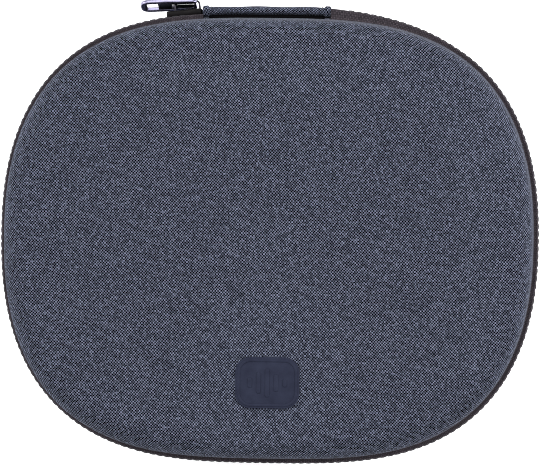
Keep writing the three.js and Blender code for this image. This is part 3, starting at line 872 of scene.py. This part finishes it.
outer_channel = channel_rows(plate_stations(3.9), 2.2, 1.05, -0.15, 1)
inner_channel = channel_rows(plate_stations(3.4), -3.6, -2.8, -1.3, -1)
body_blocks = [outer_channel, inner_channel, wedge_rows()]
slider_body = several_lofts("slider_body_cast", body_blocks, from_slider)
dress(slider_body, black_paint, "slider", "black_paint", "slider_body")

# %% Crown
CROWN_PATH = [(-3.65, 1.95), (-3.65, 3.2), (-3.6, 4.2), (-3.2, 5.0), (-2.3, 5.42), (-1.0, 5.5), (2.0, 5.5),
              (4.9, 5.5), (5.75, 5.3), (6.15, 4.7), (6.22, 4.0), (6.24, 3.2), (6.24, 1.95)]
crown_line = rounded(CROWN_PATH, 2)
crown_rows = []
for z, share in ((-0.98, 0.4), (-0.93, 0.66), (-0.8, 0.86), (-0.6, 0.97), (-0.3, 1.0), (0.3, 1.0),
                 (0.6, 0.97), (0.8, 0.86), (0.93, 0.66), (0.98, 0.4)):
    section = banded(crown_line, 0.76 * share)
    crown_rows.append(np.column_stack([section, np.full(len(section), z)]))
crown = several_lofts("slider_crown_arch", [np.array(crown_rows)], from_slider)
dress(crown, dark_plating, "slider", "gunmetal", "slider_crown")

# %% Pull
PULL_PIVOT = np.array([4.5, 4.3, 0.0])
PULL_TILT = math.radians(-20)
PULL_SWING = math.radians(-3)
PULL_EDGE = [(0.0, 0.0), (0.0, 1.6), (-0.1, 2.7), (-1.1, 3.1), (-4.5, 3.2), (-7.4, 3.3), (-9.2, 3.6),
             (-11.0, 3.72), (-14.4, 3.75), (-18.6, 3.72), (-20.2, 3.2), (-20.95, 1.9), (-21.05, 0.0)]
pull_turn = np.array(Matrix.Rotation(PULL_SWING, 3, "Z") @ Matrix.Rotation(PULL_TILT, 3, "X"))


def from_pull(points):
    """Pull points are (along, through, across), with the bar at the origin and the tail at -x."""
    return from_slider(PULL_PIVOT + np.asarray(points, float) @ pull_turn.T)


def closed_path(half_edge):
    upper = rounded(half_edge, 3)
    lower = upper[-2:0:-1] * np.array([1, -1])
    return np.concatenate([upper, lower])


def ring_rows(path, half_in, half_through, slim=1.0):
    """A closed wire of squarish section round a flat path; slim scales it, point by point."""
    run = np.roll(path, -1, 0) - np.roll(path, 1, 0)
    run /= np.linalg.norm(run, axis=1)[:, None]
    outward = np.stack([run[:, 1], -run[:, 0]], 1)
    spin = np.linspace(0, 2 * np.pi, 20, endpoint=False) + np.pi / 20
    wide = np.sign(np.cos(spin)) * np.abs(np.cos(spin)) ** 0.45
    deep = np.sign(np.sin(spin)) * np.abs(np.sin(spin)) ** 0.45
    slim = np.broadcast_to(slim, len(path))[:, None]
    flat = path[:, None] + outward[:, None] * (slim * half_in * wide)[..., None]
    through = slim * half_through * deep
    return np.stack([flat[..., 0], through, flat[..., 1]], -1)


def slim_under_crown(path):
    """How much of its full size the pull's wire keeps: less at its bar, around x = 0, where it
    has to turn under the crown."""
    near_middle = np.clip((1.9 - np.abs(path[:, 1])) / 0.7, 0, 1)
    near_bar = np.clip(1 + path[:, 0] / 1.2, 0, 1)
    return 1 - 0.56 * near_middle * near_bar


def panel_rows(start, end, half_start, half_end, thick, dish):
    """A flat bar between two places along the pull, rounded at both edges."""
    rows = []
    for t, trim in ((0, 0.3), (0.04, 0.08), (0.14, 0), (0.5, 0), (0.86, 0), (0.96, 0.08), (1, 0.3)):
        x = start + (end - start) * t
        half = half_start + (half_end - half_start) * t
        deep = thick / 2 - trim * 0.6
        low = max(deep - dish, 0.1)
        upper = [(-half, deep), (-half * 0.8, deep), (-half * 0.7, low), (0, low), (half * 0.7, low),
                 (half * 0.8, deep), (half, deep)]
        rows.append([(x, y, z) for z, y in upper] + [(x, -y, z) for z, y in reversed(upper)])
    return np.array(rows)


pull_path = closed_path(PULL_EDGE)
rim_rows = ring_rows(pull_path, 0.82, 0.8, slim_under_crown(pull_path))
rim_tube = loft("pull_rim", from_pull(rim_rows), around=True, sharp=60)
dress(rim_tube, gunmetal, "pull", "gunmetal", "pull_tab")
panels = [panel_rows(-9.4, -14.9, 3.4, 3.6, 1.1, 0.18), panel_rows(-19.3, -20.9, 3.3, 2.2, 1.2, 0.0)]
for side in (-1, 1):
    rail = panel_rows(-0.3, -9.6, 1.08, 1.1, 1.1, 0.0)
    panels.append(rail + np.array([0, 0, side * 2.35]))
pull_panels = several_lofts("pull_panels", panels, from_pull)
dress(pull_panels, dark_plating, "pull", "gunmetal")
print("slider at", SLIDER_ORIGIN.round(2), "pull rim", len(rim_tube.data.polygons), "faces")

# %% [markdown]
# ## Zip stop
# A small metal clamp is pressed over both tapes where the zip ends beside the hinge. It is a
# folded strip, so its corners are round and a fold line runs down its middle.

# %% Zip stop
STOP_FROM = ZIP_END + 0.35
STOP_TO = STRIP_RIGHT - 0.35
stop_rows = []
STOP_TRIMS = [(0, 0.25), (0.06, 0.08), (0.16, 0), (0.42, 0), (0.5, 0.07), (0.58, 0), (0.84, 0),
              (0.94, 0.08), (1, 0.25)]
for t, trim in STOP_TRIMS:
    place = STOP_FROM + (STOP_TO - STOP_FROM) * t
    out = BULGE - 0.2 - trim
    deep = BULGE - 1.45 + trim
    high = 2.65 - trim
    upper = [(deep, high - 0.2), (deep + 0.2, high), (out - 0.45, high), (out - 0.12, high - 0.15),
             (out, high - 0.5), (out, 0.9)]
    lower = [(y, -z) for y, z in reversed(upper)]
    section = np.array(upper + [(out - 0.06, 0)] + lower)
    stop_rows.append(on_rim(np.full(len(section), place), section[:, 0], PARTING + section[:, 1]))
zip_stop = loft("zip_stop_clamp", stop_rows)
dress(zip_stop, dark_plating, "base", "gunmetal", "zip_stop")
print("zip stop", len(zip_stop.data.polygons), "faces")

# %% [markdown]
# ## Badge
# A soft rubber badge is moulded on its own and bonded to the lid near the front. The relief here
# is a plain border with five level bars of the kind seen on any sound meter. Rubber is matt and
# smooth beside the weave, with only the fine texture of its tool.

# %% Badge
def moulded_rubber():
    material, tree = new_material("moulded_silicone_rubber")
    position = add(tree, "TexCoord").node.outputs["Object"]
    grit = add(tree, "TexNoise", {"Vector": position, "Scale": 3500.0, "Detail": 3.0})
    cloudy = add(tree, "TexNoise", {"Vector": position, "Scale": 240.0, "Detail": 2.0})
    shade = add(tree, "Math", [grit, 0.5, cloudy], operation="MULTIPLY_ADD")
    shade = add(tree, "MapRange", {"Value": shade, "From Min": 0.4, "From Max": 1.1})
    colour = add(tree, "Mix", {"Factor": shade, "A": linear("#1c1f2f"), "B": linear("#282c3d")},
                 data_type="RGBA")
    bump = add(tree, "Bump", {"Strength": 0.3, "Distance": 0.04 * MM, "Height": grit})
    surface(tree, Base_Color=colour, Roughness=0.7, Normal=bump, IOR=1.42, Specular_IOR_Level=0.15)
    return material


badge_low, badge_high = box_mm("lid_badge")
BADGE_CENTRE = (badge_low + badge_high) / 2
BADGE_HALF = (badge_high - badge_low) / 2
BADGE_ROUND = 6.0


def rounded_box(half_x, half_y, radius, steps=8):
    """Points round a rectangle with round corners, centred on the origin."""
    points = []
    for quarter, (sx, sy) in enumerate(((1, 1), (-1, 1), (-1, -1), (1, -1))):
        for k in range(steps + 1):
            angle = (quarter + k / steps) * math.pi / 2
            points.append((sx * (half_x - radius) + radius * math.cos(angle),
                           sy * (half_y - radius) + radius * math.sin(angle)))
    return np.array(points)


def stack(centre, half_x, half_y, radius, levels):
    """A solid from rounded rectangles, each (how far in, height) of one level."""
    rows = []
    for inset, z in levels:
        ring = rounded_box(half_x - inset, half_y - inset, max(radius - inset, 0.05)) + np.asarray(centre)[:2]
        rows.append(np.column_stack([ring, np.full(len(ring), z)]))
    return np.array(rows)


rubber = moulded_rubber()
face_z = badge_high[2] - 0.25
plate_levels = [(0.1, lid_high[2] - 0.1), (0, lid_high[2] + 0.1), (0, face_z - 0.2),
                (0.1, face_z - 0.05), (0.35, face_z)]
blocks = [stack(BADGE_CENTRE, BADGE_HALF[0], BADGE_HALF[1], BADGE_ROUND, plate_levels)]
BAR_HALF_HEIGHTS = (2.0, 4.2, 5.6, 3.4, 1.6)
for k, half_height in enumerate(BAR_HALF_HEIGHTS):
    middle = BADGE_CENTRE + np.array([(k - 2) * 3.4, 0, 0])
    levels = [(0, face_z - 0.2), (0, face_z + 0.1), (0.12, face_z + 0.22), (0.35, face_z + 0.25)]
    blocks.append(stack(middle, 0.85, half_height, 0.8, levels))
badge = several_lofts("lid_badge_rubber", blocks, np.asarray)
dress(badge, rubber, "lid", "badge_rubber", "lid_badge")
inner = stack(BADGE_CENTRE, BADGE_HALF[0], BADGE_HALF[1], BADGE_ROUND,
              [(1.9, face_z - 0.1), (0.7, face_z - 0.1), (0.75, face_z + 0.12), (0.95, face_z + 0.24),
               (1.3, face_z + 0.25), (1.7, face_z + 0.24), (1.85, face_z + 0.12)])
border = loft("lid_badge_border", inner.transpose(1, 0, 2), around=True)
dress(border, rubber, "lid", "badge_rubber")
print("badge", (2 * BADGE_HALF).round(1), "mm")

# %% [markdown]
# ## The padded block
# A moulded block stands in the base and fills the gap under the headband, so that the headphones
# can't slide. It is foam in the same knit as the lining: its walls swell between the piped seam
# round its top and its foot, and its top is pillowed by four sewn tufts. It is lofted from
# rounded rectangles with the swell in its rows, because a moulded block keeps its shape.

# %% Padded block
block_low, block_high = box_mm("centre_block")
BLOCK_CENTRE = (block_low + block_high) / 2
BLOCK_HALF = (block_high - block_low) / 2
BLOCK_ROUND = 12.0


def block_levels():
    """(how far in, height) from the foot up to the piped seam and on to the middle of the top."""
    height = block_high[2] - block_low[2]
    levels = []
    for t in (0, 0.02, 0.06, 0.14, 0.26, 0.4, 0.54, 0.68, 0.8, 0.88, 0.93):
        swell = 0.9 * math.sin(t / 0.93 * math.pi) ** 0.7 if 0 < t < 0.93 else 0
        tuck = 0.8 * max(0, 1 - t / 0.05)
        levels.append((3.2 * t + 0.8 - swell + tuck, block_low[2] + t * height))
    for t in (0.05, 0.12, 0.22, 0.35, 0.5, 0.66, 0.82):
        rise = 1.5 * (1 - (1 - min(t / 0.35, 1)) ** 2)
        levels.append((3.9 + 20 * t, block_low[2] + 0.93 * height + rise))
    return levels


def block_rows():
    rows = stack(BLOCK_CENTRE, BLOCK_HALF[0], BLOCK_HALF[1], BLOCK_ROUND, block_levels())
    tufts = [(BLOCK_CENTRE[0] + sx * 7.5, BLOCK_CENTRE[1] + sy * 9.5) for sx in (-1, 1) for sy in (-1, 1)]
    top = rows[:, :, 2] > block_low[2] + 0.94 * (block_high[2] - block_low[2])
    for x, y in tufts:
        away = np.hypot(rows[..., 0] - x, rows[..., 1] - y)
        rows[..., 2] -= np.where(top, 1.1 * np.exp(-(away / 3.2) ** 2), 0)
    return rows


block = loft("centre_block_padded", block_rows())
block_smooth = block.modifiers.new("smooth_padding", "SUBSURF")
block_smooth.levels = 2
block_smooth.render_levels = 2
dress(block, lining, "base", "lining_fabric", "centre_block")
seam_ring = rounded_box(BLOCK_HALF[0] - 3.55, BLOCK_HALF[1] - 3.55, BLOCK_ROUND - 3.0, 10) + BLOCK_CENTRE[:2]
seam_z = block_low[2] + 0.935 * (block_high[2] - block_low[2])
piping = ring_rows(seam_ring, 0.75, 0.75)[..., [0, 2, 1]] + np.array([0, 0, seam_z])
block_piping = loft("centre_block_piping", piping, around=True)
dress(block_piping, grosgrain, "base", "lining_fabric")
print("block", (2 * BLOCK_HALF).round(1), "mm")

# %% [markdown]
# ## Net pocket in the lid
# The front half of the lid is closed by a knitted net for cables, sewn to the lining along its
# curve by a ribbon and gathered at its free edge by a woven elastic. The net is real geometry:
# a honeycomb of cells trimmed to the pocket's outline, thickened into threads, so one sees
# through it. Its cells and threads are a little coarser than a real net's so that they show.

# %% Net outline and cells
net_low, net_high = box_mm("mesh_pocket")
ribbon_low, ribbon_high = box_mm("pocket_binding")
elastic_low, elastic_high = box_mm("pocket_elastic")
NET_INSET = HALF_LENGTH - net_high[0]
NET_LINE = net_high[1]
CELL_EDGE = 1.16
THREAD = 0.62


def front_curve(inset, line_y, count=160):
    """Points along the rim, inset from it, in front of a line across the case."""
    along = np.linspace(0.15, 0.85, 4001) * RIM_LENGTH
    points = on_rim(along, -inset + 0 * along, 0.0)
    inside = along[points[:, 1] < line_y]
    return np.linspace(inside[0], inside[-1], count)


def honeycomb(half_x, low_y, high_y, edge, keep):
    """Six-sided cells whose corners all pass keep(x, y)."""
    corners = {}
    faces = []
    step_x = edge * math.sqrt(3)
    for row in range(int((high_y - low_y) / (1.5 * edge)) + 2):
        cy = low_y + 1.5 * edge * row
        for column in range(int(2 * half_x / step_x) + 2):
            cx = -half_x + step_x * (column + 0.5 * (row % 2))
            cell = []
            for k in range(6):
                angle = math.pi / 6 + k * math.pi / 3
                cell.append((round(cx + edge * math.cos(angle), 3), round(cy + edge * math.sin(angle), 3)))
            if all(keep(x, y) for x, y in cell):
                faces.append([corners.setdefault(p, len(corners)) for p in cell])
    return np.array(list(corners)), faces


def inside_net(x, y):
    share = (abs(x) / (HALF_LENGTH - NET_INSET)) ** POWER_X + (abs(y) / (HALF_WIDTH - NET_INSET)) ** POWER_Y
    return share < 1.0 and y < NET_LINE


cells, cell_faces = honeycomb(net_high[0], net_low[1], NET_LINE, CELL_EDGE, inside_net)
net_z = (net_low[2] + net_high[2]) / 2
reach = (np.abs(cells[:, 0]) / net_high[0]) ** 2 + ((cells[:, 1] - NET_LINE) / (net_low[1] - NET_LINE)) ** 2
droop = -0.5 * np.clip(1 - reach, 0, 1)
net_points = np.column_stack([cells, net_z + droop])
net = make_piece("lid_pocket_net", net_points, cell_faces, [(0, 0)] * (6 * len(cell_faces)))
wire = net.modifiers.new("threads", "WIREFRAME")
wire.thickness = THREAD * MM
wire.use_boundary = True
wire.use_even_offset = False
threads = bpy.data.meshes.new_from_object(net.evaluated_get(bpy.context.evaluated_depsgraph_get()))
net.modifiers.clear()
net.data = threads

# %% Net, ribbon and elastic
pocket_net = ribbed_ribbon("knitted_polyester_net", 0.5, "#17181c", "#3f4149")
elastic_knit = ribbed_ribbon("woven_gathering_elastic", 1.5, "#0d0e11", "#33353c")
dress(net, pocket_net, "lid", "pocket_net", "mesh_pocket")
RIBBON_IN = HALF_LENGTH - ribbon_high[0]
ribbon_wide = NET_INSET - RIBBON_IN
ribbon_mid = (ribbon_low[2] + ribbon_high[2]) / 2
ribbon_deep = (ribbon_high[2] - ribbon_low[2]) / 2
pocket_along = front_curve(RIBBON_IN + ribbon_wide, NET_LINE)
wide_steps = [(0.1, 0.5), (0.02, 0.0), (0.1, -0.5), (0.35, -0.95), (0.75, -1.0), (1.2, -0.9), (1.35, -0.4),
              (1.35, 0.4), (1.2, 0.9), (0.75, 1.0), (0.35, 0.95)]
ribbon_section = [(RIBBON_IN + a * 1.4, ribbon_mid - PARTING + b * ribbon_deep) for a, b in wide_steps]
pocket_ribbon = loft("lid_pocket_ribbon", sweep(ribbon_section, pocket_along, 1))
dress(pocket_ribbon, grosgrain, "lid", "edge_ribbon", "pocket_binding")
elastic_rows = []
half_wide = (elastic_high[1] - elastic_low[1]) / 2
elastic_mid = (elastic_low + elastic_high) / 2
for x in np.linspace(elastic_low[0] + 0.5, elastic_high[0] - 0.5, 320):
    gather = 0.12 * math.sin(x * 2.1) + 0.06 * math.sin(x * 5.3 + 1)
    thick = (elastic_high[2] - elastic_low[2]) / 2 - 0.12 + gather
    wide = half_wide - 0.15 + 0.12 * math.sin(x * 2.1 + 0.8)
    edge = [(-wide, 0), (-wide + 0.15, thick * 0.8), (-wide + 0.7, thick), (-wide * 0.5, thick * 0.82),
            (-wide * 0.3, thick), (0, thick * 0.85), (wide * 0.3, thick), (wide * 0.5, thick * 0.82),
            (wide - 0.7, thick), (wide - 0.15, thick * 0.8), (wide, 0)]
    ring = edge + [(y, -z) for y, z in edge[-2:0:-1]]
    elastic_rows.append([(x, elastic_mid[1] + y, elastic_mid[2] + z) for y, z in ring])
elastic = loft("lid_pocket_elastic", elastic_rows)
dress(elastic, elastic_knit, "lid", "edge_ribbon", "pocket_elastic")
print("pocket ribbon", len(pocket_ribbon.data.polygons), "faces, elastic", len(elastic.data.polygons))

# %% [markdown]
# ## Floor, light and camera
# The case lies on a white sweep in a bright, even studio. Two long soft lights stand low at its
# left and right, which is what makes the shoulders glow a little against the darker face, and a
# third hangs behind the hinge. The sky is plain white and fills the shadows.

# %% Floor and lights
def studio_floor():
    material, tree = new_material("white_paper_sweep")
    grain = add(tree, "TexNoise", {"Scale": 900.0, "Detail": 2.0})
    colour = add(tree, "Mix", {"Factor": grain, "A": linear("#f4f4f5"), "B": linear("#ffffff")},
                 data_type="RGBA")
    surface(tree, Base_Color=colour, Roughness=0.9, Emission_Color=(1, 1, 1, 1), Emission_Strength=0.32)
    mesh = bpy.data.meshes.new("studio_floor")
    mesh.from_pydata([(-3, -3, 0), (3, -3, 0), (3, 3, 0), (-3, 3, 0)], [], [(0, 1, 2, 3)])
    mesh.materials.append(material)
    floor = bpy.data.objects.new("studio_floor", mesh)
    bpy.context.scene.collection.objects.link(floor)
    floor.location.z = cad_bounds[0][2] - 0.0002


def soft_light(name, place, size, power, aim=(0, 0, 0.03)):
    data = bpy.data.lights.new(name, "AREA")
    data.shape = "RECTANGLE"
    data.size, data.size_y = size
    data.energy = power
    light = bpy.data.objects.new(name, data)
    bpy.context.scene.collection.objects.link(light)
    light.location = place
    direction = Vector(aim) - Vector(place)
    light.rotation_euler = direction.to_track_quat("-Z", "Y").to_euler()


studio_floor()
soft_light("soft_left", (-0.85, 0.3, 0.5), (0.5, 0.9), 7.0)
soft_light("soft_right", (0.85, 0.15, 0.42), (0.4, 0.9), 8.0)
soft_light("soft_back", (-0.1, 0.8, 0.8), (0.9, 0.3), 3.0)
world = bpy.data.worlds.new("studio_white")
world.use_nodes = True
sky = world.node_tree
height = add(sky, "SeparateXYZ", [add(sky, "TexCoord")]).node.outputs["Z"]
glow = add(sky, "MapRange", {"Value": height, "From Min": 0.1, "From Max": 0.8,
                             "To Min": 0.3, "To Max": 1.15}, interpolation_type="SMOOTHSTEP")
sky.links.new(glow, sky.nodes["Background"].inputs["Strength"])
sky.nodes["Background"].inputs["Color"].default_value = (1.0, 1.0, 1.0, 1.0)
scene = bpy.context.scene
scene.world = world
scene.view_settings.view_transform = "Standard"
scene.view_settings.look = "None"
# The denoiser takes the weave's colours as drawn, and the render is sampled a little more
# sharply than usual, because a weave this fine would otherwise be smoothed away.
scene.cycles.denoising_prefilter = "NONE"
scene.cycles.filter_width = 1.0

# %% Camera
VIEW_SPAN = 0.21676
DISTANCE = 0.95
TILT = math.radians(1.0)
LEAN = math.radians(2.0)
ROLL = math.radians(0.7)
LOOK_AT = Vector((0.0001, 0.0027, PARTING * MM))
camera_data = bpy.data.cameras.new("camera")
camera_data.sensor_width = 36.0
camera_data.lens = 36.0 * DISTANCE / VIEW_SPAN
camera_data.clip_start = 0.05
camera_data.clip_end = 20.0
camera = bpy.data.objects.new("camera", camera_data)
scene.collection.objects.link(camera)
away = Vector((math.sin(LEAN), math.sin(TILT), math.cos(TILT)))
camera.location = LOOK_AT + away.normalized() * DISTANCE
camera.rotation_euler = (-TILT, LEAN, ROLL)
scene.camera = camera
print("camera", round(camera_data.lens), "mm lens at", DISTANCE, "m")
